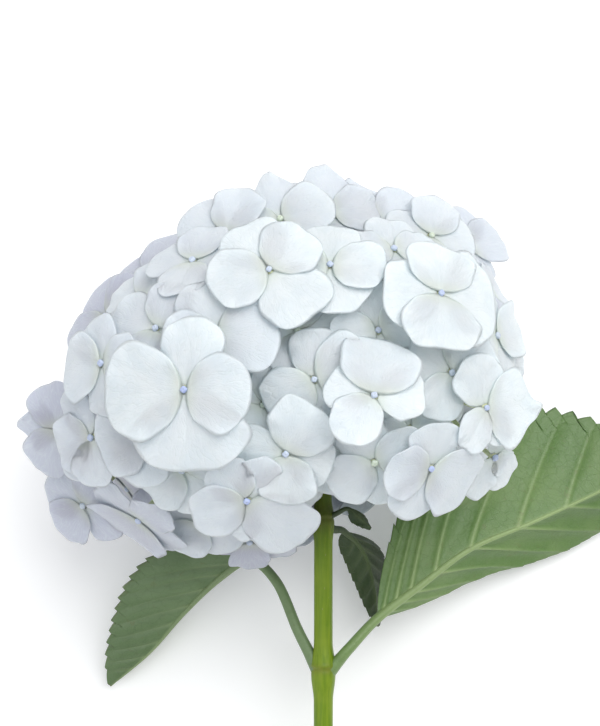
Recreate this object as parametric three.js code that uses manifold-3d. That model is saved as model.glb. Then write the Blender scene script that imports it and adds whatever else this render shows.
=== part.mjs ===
// A cut white mophead hydrangea, lying on its back on a level surface. Millimetres, +Z up.
//
// The plant is laid out upright first: X to its right, Y up the stem, Z out of its front, with the
// origin in the middle of the flower head. The finished plant is then leaned back until the cut end
// of the stem and the florets at the back of the head rest on the surface.
import * as THREE from 'three';
import Module from 'manifold-3d';

const wasm = await Module();
wasm.setup();

// Lying down
const LEAN = THREE.MathUtils.degToRad(18);     // stem's slope above the surface

// Flower head: a rounded box-like ellipsoid through the floret eyes, its right end rolled upward
const HEAD = {
  side: 84, up: 62, front: 78, back: 67, power: 2.3, roll: THREE.MathUtils.degToRad(11),
};

// Stem
const STEM = { x: 12, sides: 12, end: -205, lowerNode: -105, upperNode: -51, top: -31 };
const STEM_RADIUS = { below: 3.5, lowerNode: 4.5, middle: 3.3, upperNode: 4.1, above: 3.0, top: 5.2 };

// Florets
const GAP = 0.3;                 // clear space between neighbouring pieces
const SLIVER = 0.02;             // edges shorter than this are merged away after joining
const PETAL_THICKNESS = 0.7;     // at the middle of a petal, thinning to nothing at its edge
const PETAL_RISE = 0.10;         // slope of a petal where it leaves the eye
const PETAL_CURVE = 52;          // radius by which petals bend back over the head
const PETAL_CUP = 0.7;           // how far the side edges of a petal bend down
const EYE_RADIUS = 1.7;
const EYE_HEIGHT = 1.6;
const NECK = 4;                  // length over which a floret's back narrows to its pedicel
const PEDICEL_RADIUS = 0.8;
const PEDICEL_SHARE = 0.38;      // part of the way from eye to branch that the pedicel covers
const PETAL_SHARES = { first: 0.17, waist: 0.45, middle: 0.6, shoulder: 0.86 };
const WAIST_WIDTH = 0.9;         // of the petal's width, at its waist
const SHOULDER_WIDTH = 0.78;     // and at its shoulder
const NECK_WIDTH = 1.3;          // of the pedicel's radius

// Florets placed by rule: how far out they sit, spacing of their eyes, petal length, foremost plane
// and how strongly those round the head's rim turn towards its front
const OUTER_LAYER = { reach: 0.96, spacing: 25, petal: 17, front: 14, forward: 0.75 };
const INNER_LAYER = { reach: 0.74, spacing: 21, petal: 14, front: 70, forward: 0.3 };
const RIM_DEPTH = 30;            // florets this far behind the middle no longer turn forward
const TUCK = 0.14;               // share by which a floret turned fully forward is drawn inward
const FILL_TRIES = 420;
const STEM_CLEARANCE = 24;       // kept clear round the stem below the head
const LEAF_ROOM = 2;
const REST_WITHIN = 5;           // florets this near the surface are laid down on it
const SINK = { step: 1, most: 14 };      // how far an inner floret may sink to find room
const RAY_ANGLE = THREE.MathUtils.degToRad(11);      // least angle between an inner stalk and others
const NEARBY = 55;               // florets further apart than this never touch

// Easing neighbouring florets apart, each round
const EASE = { rounds: 90, out: 0.2, in: 0.45, aside: 0.2, shrinkAfter: 40, shrink: 0.985 };
const TOUCH = 1e-4;

// Branches: where each cyme divides, and whether its florets grow as one piece with it
const CYMES = [
  { name: 'branch_left_low', fork: [-24, -22, 34] },
  { name: 'branch_left_high', fork: [-28, 10, 34] },
  { name: 'branch_top', fork: [8, 22, 32] },
  { name: 'branch_middle', fork: [18, -14, 44] },
  { name: 'branch_right', fork: [42, 2, 24] },
  { name: 'cyme_left', fork: [-44, -12, 0], joined: true },
  { name: 'cyme_right', fork: [50, -12, -8], joined: true },
  { name: 'cyme_crown', fork: [0, 30, -8], joined: true },
  { name: 'cyme_back_left', fork: [-24, 0, -26], joined: true },
  { name: 'cyme_back_right', fork: [26, 4, -26], joined: true },
  { name: 'cyme_underside', fork: [0, -22, -22], joined: true },
];
const BRANCH = { sides: 5, base: 1.5, fork: 1.2, tip: 0.9, knuckle: 1.9 };

// Florets placed by hand: eye, then each petal's direction as seen from the front (degrees from the
// right, anticlockwise), length and width. A facing replaces the outward direction of the head.
const FLORETS = [
  { eye: [-32, -2, 82], petals: [[183, 26, 25], [82, 21, 17], [-6, 20, 20], [277, 24, 23]] },
  { eye: [-6, 35, 74], petals: [[117, 20, 18], [49, 18, 17], [-41, 19, 19], [192, 18, 17]] },
  { eye: [13, 37, 68], petals: [[85, 17, 16], [-5, 17, 16], [-68, 17, 16], [180, 15, 14]] },
  { eye: [48, 28, 69], petals: [[178, 19, 19], [-4, 20, 18], [90, 16, 19], [268, 18, 24]] },
  { eye: [-23, 15, 76], petals: [[105, 18, 17], [0, 19, 20], [190, 15, 15], [275, 14, 14]] },
  { eye: [-52, -49, 38], petals: [[150, 17, 16], [215, 21, 18], [-50, 19, 18], [15, 15, 14]] },
  { eye: [-13, -37, 71], petals: [[195, 18, 20], [130, 16, 15], [65, 15, 14], [-38, 25, 23],
    [262, 15, 9]] },
  { eye: [45, -27, 68], petals: [[185, 17, 15], [238, 18, 17], [-32, 21, 20], [80, 14, 11]] },
  { eye: [26, -4, 80], facing: [0, 0.5, 0.87], petals: [[80, 19, 21], [8, 15, 14],
    [228, 16, 14], [160, 15, 13]] },
  { eye: [27, -25, 71], facing: [0.1, -0.5, 0.86], petals: [[215, 16, 15], [20, 16, 15],
    [120, 15, 14], [300, 16, 15]] },
  { eye: [39, -15, 60], petals: [[125, 18, 16], [30, 14, 13], [200, 13, 12], [290, 14, 13]] },
  { eye: [52, 3, 63], petals: [[145, 16, 15], [52, 17, 15], [-5, 19, 14], [250, 15, 14]] },
  { eye: [63, -8, 61], petals: [[-5, 22, 15], [-60, 15, 13], [245, 15, 12], [95, 15, 17]] },
  { eye: [68, -25, 42], petals: [[-10, 15, 15], [-62, 18, 15], [240, 15, 14], [60, 14, 14]] },
  { eye: [8, 1, 76], petals: [[85, 15, 15], [215, 16, 16], [18, 19, 19], [300, 15, 15]] },
  { eye: [-1, -22, 76], petals: [[58, 17, 18], [175, 15, 12], [275, 16, 15], [-20, 15, 14]] },
  { eye: [17, -17, 70], petals: [[262, 20, 13], [80, 14, 12], [170, 14, 11], [0, 13, 11]] },
  { eye: [-45, -15, 66], petals: [[205, 19, 19], [255, 18, 18], [110, 15, 15], [0, 15, 14]] },
  { eye: [-64, -18, 52], petals: [[125, 18, 18], [200, 17, 17], [240, 19, 15], [278, 16, 11],
    [20, 14, 13]] },
  { eye: [-60, 6, 60], petals: [[190, 17, 19], [110, 15, 15], [10, 15, 14], [280, 16, 15]] },
  { eye: [-42, 17, 67], petals: [[165, 19, 17], [250, 15, 15], [60, 15, 15], [-20, 15, 14]] },
  { eye: [-48, 27, 52], petals: [[155, 16, 15], [60, 16, 15], [240, 15, 14], [-20, 16, 14]] },
  { eye: [-31, 39, 58], petals: [[168, 16, 15], [65, 16, 15], [250, 15, 15], [-10, 15, 15]] },
  { eye: [-22, 49, 42], facing: [-0.3, 0.42, 0.86],
    petals: [[150, 17, 15], [60, 17, 16], [240, 15, 15], [-20, 15, 14]] },
  { eye: [-3, 54, 42], facing: [-0.1, 0.42, 0.9],
    petals: [[105, 18, 16], [20, 17, 16], [200, 16, 15], [290, 15, 14]] },
  { eye: [14, 56, 36], facing: [0.12, 0.48, 0.87],
    petals: [[100, 19, 15], [10, 16, 15], [185, 15, 14], [275, 15, 14]] },
  { eye: [30, 55, 34], facing: [0.2, 0.45, 0.87],
    petals: [[120, 18, 14], [30, 17, 15], [210, 15, 14], [300, 15, 14]] },
  { eye: [34, 43, 54], petals: [[90, 16, 15], [0, 15, 15], [180, 15, 14], [270, 15, 14]] },
  { eye: [48, 49, 34], facing: [0.3, 0.45, 0.84],
    petals: [[170, 15, 15], [80, 15, 15], [-5, 15, 15], [260, 15, 14]] },
  { eye: [62, 47, 16], facing: [0.45, 0.45, 0.77],
    petals: [[100, 16, 15], [15, 16, 15], [200, 15, 14], [285, 15, 15]] },
  { eye: [66, 33, 34], petals: [[-5, 16, 15], [85, 16, 15], [180, 15, 14], [270, 15, 15]] },
  { eye: [68, 15, 46], petals: [[20, 17, 16], [-60, 15, 15], [110, 15, 15], [200, 14, 14]] },
  { eye: [74, 2, 36], petals: [[-12, 16, 16], [65, 15, 15], [150, 15, 14], [250, 15, 14]] },
  { eye: [29, 17, 71], petals: [[100, 16, 13], [20, 15, 14], [190, 15, 13], [280, 14, 13]] },
  { eye: [-34, -28, 62], petals: [[120, 15, 15], [40, 16, 15], [215, 16, 15], [290, 16, 15]] },
  { eye: [-31, -51, 37], facing: [-0.1, -0.6, 0.79],
    petals: [[230, 15, 15], [140, 14, 14], [40, 15, 14], [315, 16, 15]] },
  { eye: [-14, -56, 18], facing: [0, -0.75, 0.66],
    petals: [[270, 15, 12], [180, 15, 14], [-10, 16, 15], [90, 15, 13]] },
  { eye: [-70, -42, 18], facing: [-0.5, -0.35, 0.79],
    petals: [[160, 16, 15], [228, 16, 15], [60, 15, 14], [320, 15, 14]] },
  { eye: [-80, -17, 22], facing: [-0.62, 0, 0.78],
    petals: [[172, 18, 14], [105, 16, 15], [245, 16, 16], [0, 15, 14]] },
  { eye: [-8, -7, 69], petals: [[150, 15, 14], [240, 15, 15], [60, 15, 14], [-30, 14, 13]] },
  { eye: [3, 16, 68], petals: [[95, 16, 16], [180, 15, 14], [0, 15, 14], [270, 14, 13]] },
];

// Leaves: the midrib from the petiole's foot to the tip, then for each side the direction its half
// of the blade spreads in and the greatest half width. The blade starts after `petiole` midrib points.
const LEAVES = [
  {
    name: 'leaf_right',
    midrib: [[19.2, -104, 2], [21.5, -96, 2], [32, -86, -3], [47, -76, -10], [67, -63, -18],
      [91, -54, -26], [120, -42, -34], [144, -30, -40]],
    petiole: 2, petioleRadius: 2.1, widest: 0.62,
    left: { spread: [-0.52, 0.84, -0.14], width: 44 },
    right: { spread: [0.40, -0.72, -0.56], width: 22 },
  },
  {
    name: 'leaf_left',
    midrib: [[4.9, -104, 1], [2.5, -90, -3], [-5, -74, -9], [-15, -67, -16], [-27, -75, -22],
      [-40, -88, -25], [-53, -103, -26], [-68, -116, -27.2]],
    petiole: 3, petioleRadius: 2.0, widest: 0.4,
    left: { spread: [-0.45, -0.30, -0.84], width: 16 },
    right: { spread: [-0.78, 0.58, 0.24], width: 25 },
  },
  {
    name: 'leaf_back',
    midrib: [[14.2, -52, -5.7], [20, -56, -12], [27, -64, -18], [31, -76, -22], [33, -93, -24]],
    petiole: 1, petioleRadius: 1.4, widest: 0.35,
    left: { spread: [0.60, 0.10, -0.79], width: 13 },
    right: { spread: [-0.88, 0.05, 0.47], width: 9 },
  },
  {
    name: 'leaf_small',
    midrib: [[17.1, -49, 2.3], [20.5, -46, 4], [24, -48, 5], [29, -53, 5]],
    petiole: 1, petioleRadius: 0.9, widest: 0.45,
    left: { spread: [0.5, 0.5, -0.7], width: 3 },
    right: { spread: [-0.5, -0.6, 0.6], width: 3 },
  },
];
const LEAF_ROWS = 14;
const LEAF_THICKNESS = 1.1;      // at the midrib; the middle of each half is half as thick
const LEAF_POINT = 0.75;         // how bluntly the blade runs out: lower is blunter

const UP = new THREE.Vector3(0, 1, 0);
const FRONT = new THREE.Vector3(0, 0, 1);
const stemFoot = new THREE.Vector3(STEM.x, STEM.end, 0);
const branchPoint = new THREE.Vector3(STEM.x, STEM.top, 0);
const lying = new THREE.Matrix4().makeRotationX(LEAN);
const surfaceNormal = new THREE.Vector3(0, Math.sin(LEAN), Math.cos(LEAN));
const surfaceHeight = stemFoot.dot(surfaceNormal) - STEM_RADIUS.below * Math.cos(LEAN);

// --- closed bodies as plain lists of points and triangles

function makeBody() {
  return { points: [], triangles: [] };
}

function addPoint(body, point) {
  body.points.push(point);
  return body.points.length - 1;
}

function toManifold(body) {
  const vertProperties = new Float32Array(body.points.length * 3);
  body.points.forEach((point, index) => point.toArray(vertProperties, index * 3));
  const triVerts = new Uint32Array(body.triangles.flat());
  return new wasm.Manifold(new wasm.Mesh({ numProp: 3, vertProperties, triVerts }));
}

function manifoldGeometry(solid) {
  const mesh = solid.getMesh();
  const geometry = new THREE.BufferGeometry();
  geometry.setAttribute('position', new THREE.Float32BufferAttribute(mesh.vertProperties, 3));
  geometry.setIndex(Array.from(mesh.triVerts));
  return geometry;
}

function largestPiece(solid) {
  const pieces = solid.decompose();
  return pieces.reduce((best, piece) => (piece.volume() > best.volume() ? piece : best));
}

// A straight rod with flat ends and a radius for each end.
function rod(from, to, startRadius, endRadius, sides = BRANCH.sides) {
  const body = makeBody();
  const along = to.clone().sub(from).normalize();
  const helper = Math.abs(along.y) < 0.9 ? UP : new THREE.Vector3(1, 0, 0);
  const across = helper.clone().cross(along).normalize();
  const third = along.clone().cross(across);
  for (const [centre, radius] of [[from, startRadius], [to, endRadius]]) {
    for (let side = 0; side < sides; side += 1) {
      const angle = (2 * Math.PI * side) / sides;
      addPoint(body, centre.clone()
        .addScaledVector(across, radius * Math.cos(angle))
        .addScaledVector(third, radius * Math.sin(angle)));
    }
  }
  for (let side = 0; side < sides; side += 1) {
    const next = (side + 1) % sides;
    body.triangles.push([side, next, sides + next], [side, sides + next, sides + side]);
  }
  for (let side = 1; side < sides - 1; side += 1) {
    body.triangles.push([0, side + 1, side], [sides, sides + side, sides + side + 1]);
  }
  return toManifold(body);
}

// --- flower head shape

// A point's place along the head's three axes, each 1 where it meets the head's surface.
function headShares(point) {
  const local = point.clone().applyAxisAngle(FRONT, -HEAD.roll);
  return [local.x / HEAD.side, local.y / HEAD.up, local.z / (local.z > 0 ? HEAD.front : HEAD.back)];
}

// 1 on the head's surface, less inside it.
function headReach(point) {
  const sum = headShares(point).reduce((total, share) => total + Math.abs(share) ** HEAD.power, 0);
  return sum ** (1 / HEAD.power);
}

function headOutward(point) {
  const axes = [HEAD.side, HEAD.up, point.z > 0 ? HEAD.front : HEAD.back];
  const slope = headShares(point).map((share, axis) => (
    (Math.sign(share) * Math.abs(share) ** (HEAD.power - 1)) / axes[axis]));
  return new THREE.Vector3(...slope).applyAxisAngle(FRONT, HEAD.roll).normalize();
}

// --- florets

// Directions across the floret that look horizontal and upright from the front.
function floretAxes(facing) {
  const across = UP.clone().cross(facing).normalize();
  return { across, upward: facing.clone().cross(across) };
}

// The angle in the floret's own plane that shows as `degrees` when seen from the front.
function angleInPlane(degrees, axes) {
  const angle = THREE.MathUtils.degToRad(degrees);
  const [x, y] = [Math.cos(angle), Math.sin(angle)];
  const area = axes.across.x * axes.upward.y - axes.across.y * axes.upward.x;
  if (Math.abs(area) < 0.3) {
    return angle;
  }
  const alongAcross = (x * axes.upward.y - y * axes.upward.x) / area;
  const alongUpward = (y * axes.across.x - x * axes.across.y) / area;
  return Math.atan2(alongUpward, alongAcross);
}

// Forks a floret may grow from, nearest first. Florets placed by rule grow from joined cymes.
function forksFor(eye, byRule) {
  return CYMES.filter((cyme) => cyme.joined || !byRule)
    .map((cyme) => new THREE.Vector3(...cyme.fork))
    .sort((first, second) => first.distanceTo(eye) - second.distanceTo(eye));
}

function makeFloret(row) {
  const eye = new THREE.Vector3(...row.eye);
  const outward = headOutward(eye);
  const facing = row.facing ? new THREE.Vector3(...row.facing).normalize() : outward;
  const axes = floretAxes(facing);
  const petals = row.petals.map(([degrees, length, width]) => ({
    angle: row.byRule ? THREE.MathUtils.degToRad(degrees) : angleInPlane(degrees, axes),
    length,
    width,
  }));
  petals.forEach((petal) => {
    petal.angle = (petal.angle + 4 * Math.PI) % (2 * Math.PI);
  });
  petals.sort((first, second) => first.angle - second.angle);
  return {
    eye, outward, facing, axes, petals, fork: forksFor(eye, row.byRule)[0], byRule: row.byRule, size: 1,
  };
}

// A floret as one star-shaped body. `swell` thickens the petals all round, for measuring clearance.
function floretBody(floret, swell = 0) {
  const body = makeBody();
  const { eye, facing, axes, petals, size } = floret;
  const count = petals.length;
  const place = (angle, radius, side, height) => eye.clone()
    .addScaledVector(axes.across, radius * Math.cos(angle) - side * Math.sin(angle))
    .addScaledVector(axes.upward, radius * Math.sin(angle) + side * Math.cos(angle))
    .addScaledVector(facing, height);
  const lift = (radius) => PETAL_RISE * radius - radius ** 2 / (2 * PETAL_CURVE);
  const half = PETAL_THICKNESS / 2 + swell;

  const apex = addPoint(body, place(0, 0, 0, EYE_HEIGHT));
  const turnTo = (index) => {
    const next = petals[(index + 1) % count].angle;
    return (next - petals[index].angle + 2 * Math.PI) % (2 * Math.PI);
  };
  const valleys = petals.map((petal, index) => addPoint(body,
    place(petal.angle + turnTo(index) / 2, EYE_RADIUS, 0, 0)));
  const necks = petals.map((petal) => addPoint(body,
    place(petal.angle, PEDICEL_RADIUS * NECK_WIDTH, 0, -NECK)));
  const away = floret.fork.clone().sub(eye);
  const pedicelEnd = eye.clone().addScaledVector(away, PEDICEL_SHARE);
  const pedicelDirection = away.clone().normalize();
  const ends = necks.map((neck) => {
    const offset = body.points[neck].clone().sub(eye).addScaledVector(facing, NECK);
    offset.addScaledVector(pedicelDirection, -offset.dot(pedicelDirection));
    return addPoint(body, pedicelEnd.clone().addScaledVector(offset, 1 / NECK_WIDTH));
  });

  petals.forEach((petal, index) => {
    const length = petal.length * size;
    const before = valleys[(index + count - 1) % count];
    const after = valleys[index];
    const room = [turnTo((index + count - 1) % count) / 2, turnTo(index) / 2];
    const edge = (share, widthShare, sign) => {
      const radius = length * share;
      const limit = radius * Math.tan(Math.min(room[sign > 0 ? 1 : 0], 1.3)) * 0.97;
      const side = Math.min((petal.width * size * widthShare) / 2, limit);
      return addPoint(body, place(petal.angle, radius, sign * side, lift(radius) - PETAL_CUP));
    };
    const middle = (share, offset) => addPoint(body,
      place(petal.angle, length * share, 0, lift(length * share) + offset));
    const { first, waist, middle: centre, shoulder } = PETAL_SHARES;
    const [right, left] = [-1, 1].map((sign) => [
      edge(waist, WAIST_WIDTH, sign), edge(shoulder, SHOULDER_WIDTH, sign)]);
    const tip = middle(1, 0);
    const [upper, lower] = [half, -half].map((offset) => [
      middle(first, offset), middle(centre, offset)]);
    const faces = (near, far) => [
      [near, before, right[0]], [near, right[0], far], [far, right[0], right[1]],
      [far, right[1], tip], [far, tip, left[1]], [far, left[1], left[0]],
      [far, left[0], near], [near, left[0], after],
    ];
    body.triangles.push(...faces(upper[0], upper[1]));
    body.triangles.push([apex, before, upper[0]], [apex, upper[0], after]);
    faces(lower[0], lower[1]).forEach(([a, b, c]) => body.triangles.push([a, c, b]));
    const earlier = (index + count - 1) % count;
    body.triangles.push([lower[0], before, necks[index]], [after, lower[0], necks[index]]);
    body.triangles.push([before, necks[earlier], necks[index]]);
    body.triangles.push([necks[index], necks[earlier], ends[earlier]]);
    body.triangles.push([necks[index], ends[earlier], ends[index]]);
  });
  for (let index = 1; index < count - 1; index += 1) {
    body.triangles.push([ends[0], ends[index + 1], ends[index]]);
  }
  return body;
}

// A floret without its pedicel: the pedicel's far end is drawn up under the eye.
function nearSide(floret) {
  const short = (NECK + 1.5) / PEDICEL_SHARE;
  return floret.eye.clone().addScaledVector(floret.facing, -short);
}

// The space a floret needs, without its pedicel.
function guardOf(floret) {
  return toManifold(floretBody({ ...floret, fork: nearSide(floret) }, GAP / 2 + 0.05));
}

function touching(first, second) {
  return first.intersect(second).volume() > TOUCH;
}

// Florets evenly spread over one layer of the head, wherever nothing is too near.
function layerFlorets(layer, placed) {
  const goldenAngle = Math.PI * (3 - Math.sqrt(5));
  const added = [];
  for (let index = 0; index < FILL_TRIES; index += 1) {
    const height = 1 - (2 * (index + 0.5)) / FILL_TRIES;
    const ring = Math.sqrt(1 - height ** 2);
    const direction = new THREE.Vector3(
      ring * Math.cos(index * goldenAngle), height, ring * Math.sin(index * goldenAngle));
    const eye = direction.multiplyScalar(layer.reach / headReach(direction));
    const besideStem = eye.y < 0 && Math.hypot(eye.x - STEM.x, eye.z) < STEM_CLEARANCE;
    const crowded = [...placed, ...added].some(
      (other) => other.eye.distanceTo(eye) < layer.spacing);
    if (eye.z > layer.front || besideStem || crowded) {
      continue;
    }
    const turn = (index * 37) % 90;
    const petals = [0, 90, 180, 270].map((quarter, petal) => {
      const length = layer.petal + ((index * 7 + petal * 5) % 4);
      return [turn + quarter, length, length + 1];
    });
    const forward = layer.forward * THREE.MathUtils.clamp(1 + eye.z / RIM_DEPTH, 0, 1);
    const facing = headOutward(eye).addScaledVector(FRONT, forward).toArray();
    eye.multiplyScalar(1 - TUCK * forward);
    const floret = makeFloret({ eye: eye.toArray(), facing, petals, byRule: true });
    const space = toManifold(floretBody(floret, LEAF_ROOM));
    if (!leafSolids.some((leaf) => touching(leaf, space))) {
      added.push(floret);
    }
  }
  return added;
}

function lowestOn(body) {
  return Math.min(...body.points.map((point) => point.dot(surfaceNormal)));
}

// Neighbouring florets are eased apart: the outer one out, the inner one in, until all are clear.
function settleFlorets(florets) {
  const ranks = florets.map((floret) => headReach(floret.eye));
  const refresh = (floret) => {
    const below = surfaceHeight - lowestOn(floretBody(floret));
    if (below > -REST_WITHIN) {
      floret.eye.addScaledVector(surfaceNormal, below);
    }
    floret.guard = guardOf(floret);
  };
  florets.forEach(refresh);
  for (let round = 0; round < EASE.rounds; round += 1) {
    const moved = new Set();
    for (let first = 0; first < florets.length; first += 1) {
      for (let second = first + 1; second < florets.length; second += 1) {
        const pair = [florets[first], florets[second]];
        const near = pair[0].eye.distanceTo(pair[1].eye) < NEARBY;
        if (near && touching(pair[0].guard, pair[1].guard)) {
          const [outer, inner] = ranks[first] >= ranks[second] ? pair : [pair[1], pair[0]];
          const apart = outer.eye.clone().sub(inner.eye).normalize();
          outer.eye.addScaledVector(outer.outward, EASE.out);
          inner.eye.addScaledVector(inner.outward, -EASE.in);
          if (outer.byRule && inner.byRule) {
            outer.eye.addScaledVector(apart, EASE.aside);
            inner.eye.addScaledVector(apart, -EASE.aside);
          }
          inner.size *= round > EASE.shrinkAfter ? EASE.shrink : 1;
          moved.add(outer);
          moved.add(inner);
        }
      }
    }
    moved.forEach(refresh);
    if (moved.size === 0) {
      return;
    }
  }
}

// The whole stalk from a floret's eye to its fork, with clear space all round.
function stalkOf(floret) {
  const start = floret.eye.clone().addScaledVector(floret.facing, -1);
  const flats = Math.cos(Math.PI / BRANCH.sides);
  const radii = [PEDICEL_RADIUS * NECK_WIDTH, BRANCH.fork].map((radius) => (radius + GAP) / flats);
  return rod(start, floret.fork, ...radii);
}

// An inner floret sinks into the head until its petals touch no others.
function sinkUntilClear(floret, florets) {
  const around = florets.filter((other) => other.eye.distanceTo(floret.eye) < NEARBY);
  for (let sunk = 0; sunk <= SINK.most; sunk += SINK.step) {
    const guard = guardOf(floret);
    if (!around.some((other) => touching(other.guard, guard))) {
      floret.guard = guard;
      return;
    }
    floret.eye.addScaledVector(floret.outward, -SINK.step);
  }
}

// A cyme's main limb, with clear space all round.
function trunkOf(cyme) {
  const fork = new THREE.Vector3(...cyme.fork);
  const along = fork.clone().sub(branchPoint).normalize();
  const top = fork.clone().addScaledVector(along, BRANCH.knuckle + GAP);
  return { fork, solid: rod(branchPoint, top, BRANCH.base + GAP, BRANCH.knuckle + GAP) };
}

// The nearest fork a floret's stalk can reach without meeting another stalk or trunk.
function reachableFork(floret, florets, trunks) {
  return forksFor(floret.eye, floret.byRule).find((fork) => {
    const solid = stalkOf({ ...floret, fork });
    const ray = floret.eye.clone().sub(fork);
    const sameFork = (other) => other.fork.distanceTo(fork) < BRANCH.fork;
    const clear = (other) => (sameFork(other)
      ? ray.angleTo(other.eye.clone().sub(fork)) > RAY_ANGLE
      : !touching(other.stalk, solid));
    return trunks.every((trunk) => sameFork(trunk) || !touching(trunk.solid, solid))
      && florets.every(clear);
  });
}

// Joins a floret to the head, unless it was placed by rule and finds no room.
function connectFloret(floret, florets, trunks) {
  const inWay = !floret.guard || trunks.some((trunk) => touching(trunk.solid, floret.guard));
  const fork = reachableFork(floret, florets, trunks);
  if (floret.byRule && (inWay || !fork)) {
    return;
  }
  floret.fork = fork ?? floret.fork;
  floret.stalk = stalkOf(floret);
  florets.push(floret);
}

// --- leaves

// A petiole that flattens into a blade: rings of eight points along the midrib, ends closed.
function leafBody(leaf) {
  const body = makeBody();
  const curve = new THREE.CatmullRomCurve3(leaf.midrib.map((point) => new THREE.Vector3(...point)));
  const bladeStart = leaf.petiole / (leaf.midrib.length - 1);
  const left = new THREE.Vector3(...leaf.left.spread).normalize();
  const right = new THREE.Vector3(...leaf.right.spread).normalize();
  const halfWidth = (share) => {
    const peak = leaf.widest;
    const early = Math.sin((Math.PI / 2) * Math.min(share / peak, 1)) ** 0.8;
    const late = Math.cos((Math.PI / 2) * Math.max((share - peak) / (1 - peak), 0)) ** LEAF_POINT;
    return early * late;
  };
  for (let row = 0; row <= LEAF_ROWS; row += 1) {
    const share = row / LEAF_ROWS;
    const centre = curve.getPoint(share);
    const along = curve.getTangent(share);
    const up = left.clone().sub(right).normalize().cross(along).normalize();
    const side = along.clone().cross(up).normalize();
    const blade = Math.max((share - bladeStart) / (1 - bladeStart), 0);
    const spread = blade > 0 ? Math.max(halfWidth(blade), 0.02) : 0;
    const flatten = Math.min(blade / 0.12, 1);
    const ribRadius = THREE.MathUtils.lerp(
      leaf.petioleRadius, LEAF_THICKNESS / 2, Math.min(blade / 0.5, 1));
    const ribSide = leaf.petioleRadius * (1 - flatten);
    const middleHeight = THREE.MathUtils.lerp(ribRadius * 0.7, LEAF_THICKNESS / 4, flatten);
    const ring = [
      centre.clone().addScaledVector(left, spread * leaf.left.width).addScaledVector(side, ribSide),
      centre.clone().addScaledVector(left, (spread * leaf.left.width) / 2)
        .addScaledVector(side, ribSide * 0.7).addScaledVector(up, middleHeight),
      centre.clone().addScaledVector(up, ribRadius),
      centre.clone().addScaledVector(right, (spread * leaf.right.width) / 2)
        .addScaledVector(side, -ribSide * 0.7).addScaledVector(up, middleHeight),
      centre.clone().addScaledVector(right, spread * leaf.right.width).addScaledVector(side, -ribSide),
      centre.clone().addScaledVector(right, (spread * leaf.right.width) / 2)
        .addScaledVector(side, -ribSide * 0.7).addScaledVector(up, -middleHeight),
      centre.clone().addScaledVector(up, -ribRadius),
      centre.clone().addScaledVector(left, (spread * leaf.left.width) / 2)
        .addScaledVector(side, ribSide * 0.7).addScaledVector(up, -middleHeight),
    ];
    ring.forEach((point) => addPoint(body, point));
  }
  const RING = 8;
  for (let row = 0; row < LEAF_ROWS; row += 1) {
    for (let corner = 0; corner < RING; corner += 1) {
      const next = (corner + 1) % RING;
      const near = row * RING;
      const far = near + RING;
      body.triangles.push([near + corner, near + next, far + next]);
      body.triangles.push([near + corner, far + next, far + corner]);
    }
  }
  const last = LEAF_ROWS * RING;
  for (let corner = 1; corner < RING - 1; corner += 1) {
    body.triangles.push([0, corner + 1, corner], [last, last + corner, last + corner + 1]);
  }
  const solid = toManifold(body);
  if (solid.volume() < 0) {
    body.triangles.forEach((triangle) => triangle.reverse());
    return toManifold(body);
  }
  return solid;
}

// --- stem

function stemBody() {
  const profile = [
    [0, STEM.end], [STEM_RADIUS.below, STEM.end], [STEM_RADIUS.below, STEM.lowerNode - 9],
    [STEM_RADIUS.lowerNode, STEM.lowerNode - 3], [STEM_RADIUS.lowerNode, STEM.lowerNode + 3],
    [STEM_RADIUS.middle, STEM.lowerNode + 9], [STEM_RADIUS.middle, STEM.upperNode - 7],
    [STEM_RADIUS.upperNode, STEM.upperNode - 2], [STEM_RADIUS.upperNode, STEM.upperNode + 2],
    [STEM_RADIUS.above, STEM.upperNode + 7], [STEM_RADIUS.above, STEM.top - 8],
    [STEM_RADIUS.top, STEM.top - 2], [STEM_RADIUS.top, STEM.top + 2], [0, STEM.top + 5],
  ];
  const body = makeBody();
  const bottom = addPoint(body, new THREE.Vector3(STEM.x, STEM.end, 0));
  const rings = profile.slice(1, -1);
  rings.forEach(([radius, height]) => {
    for (let side = 0; side < STEM.sides; side += 1) {
      const angle = (2 * Math.PI * side) / STEM.sides;
      addPoint(body, new THREE.Vector3(
        STEM.x + radius * Math.cos(angle), height, radius * Math.sin(angle)));
    }
  });
  const top = addPoint(body, new THREE.Vector3(STEM.x, STEM.top + 5, 0));
  const at = (ring, side) => 1 + ring * STEM.sides + (side % STEM.sides);
  for (let side = 0; side < STEM.sides; side += 1) {
    body.triangles.push([bottom, at(0, side), at(0, side + 1)]);
    for (let ring = 0; ring < rings.length - 1; ring += 1) {
      body.triangles.push([at(ring, side), at(ring + 1, side), at(ring + 1, side + 1)]);
      body.triangles.push([at(ring, side), at(ring + 1, side + 1), at(ring, side + 1)]);
    }
    const last = rings.length - 1;
    body.triangles.push([at(last, side), top, at(last, side + 1)]);
  }
  return toManifold(body);
}

// --- assembly

const PETAL_COLOUR = 0xeef1f0;
const LEAF_COLOUR = 0x5f8a42;
const STEM_COLOUR = 0x86a544;

function addMesh(group, name, geometry, colour) {
  geometry.applyMatrix4(lying);
  geometry.computeVertexNormals();
  const material = new THREE.MeshStandardMaterial({ color: colour, roughness: 0.6, metalness: 0 });
  const mesh = new THREE.Mesh(geometry, material);
  mesh.name = name;
  group.add(mesh);
}

const leafSolids = LEAVES.map(leafBody);
const florets = [];
const trunks = CYMES.map(trunkOf);
const handPlaced = FLORETS.map(makeFloret);
const outerFlorets = [...handPlaced, ...layerFlorets(OUTER_LAYER, handPlaced)];
settleFlorets(outerFlorets);
outerFlorets.forEach((floret) => connectFloret(floret, florets, trunks));
layerFlorets(INNER_LAYER, florets).forEach((floret) => {
  sinkUntilClear(floret, florets);
  connectFloret(floret, florets, trunks);
});

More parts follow.
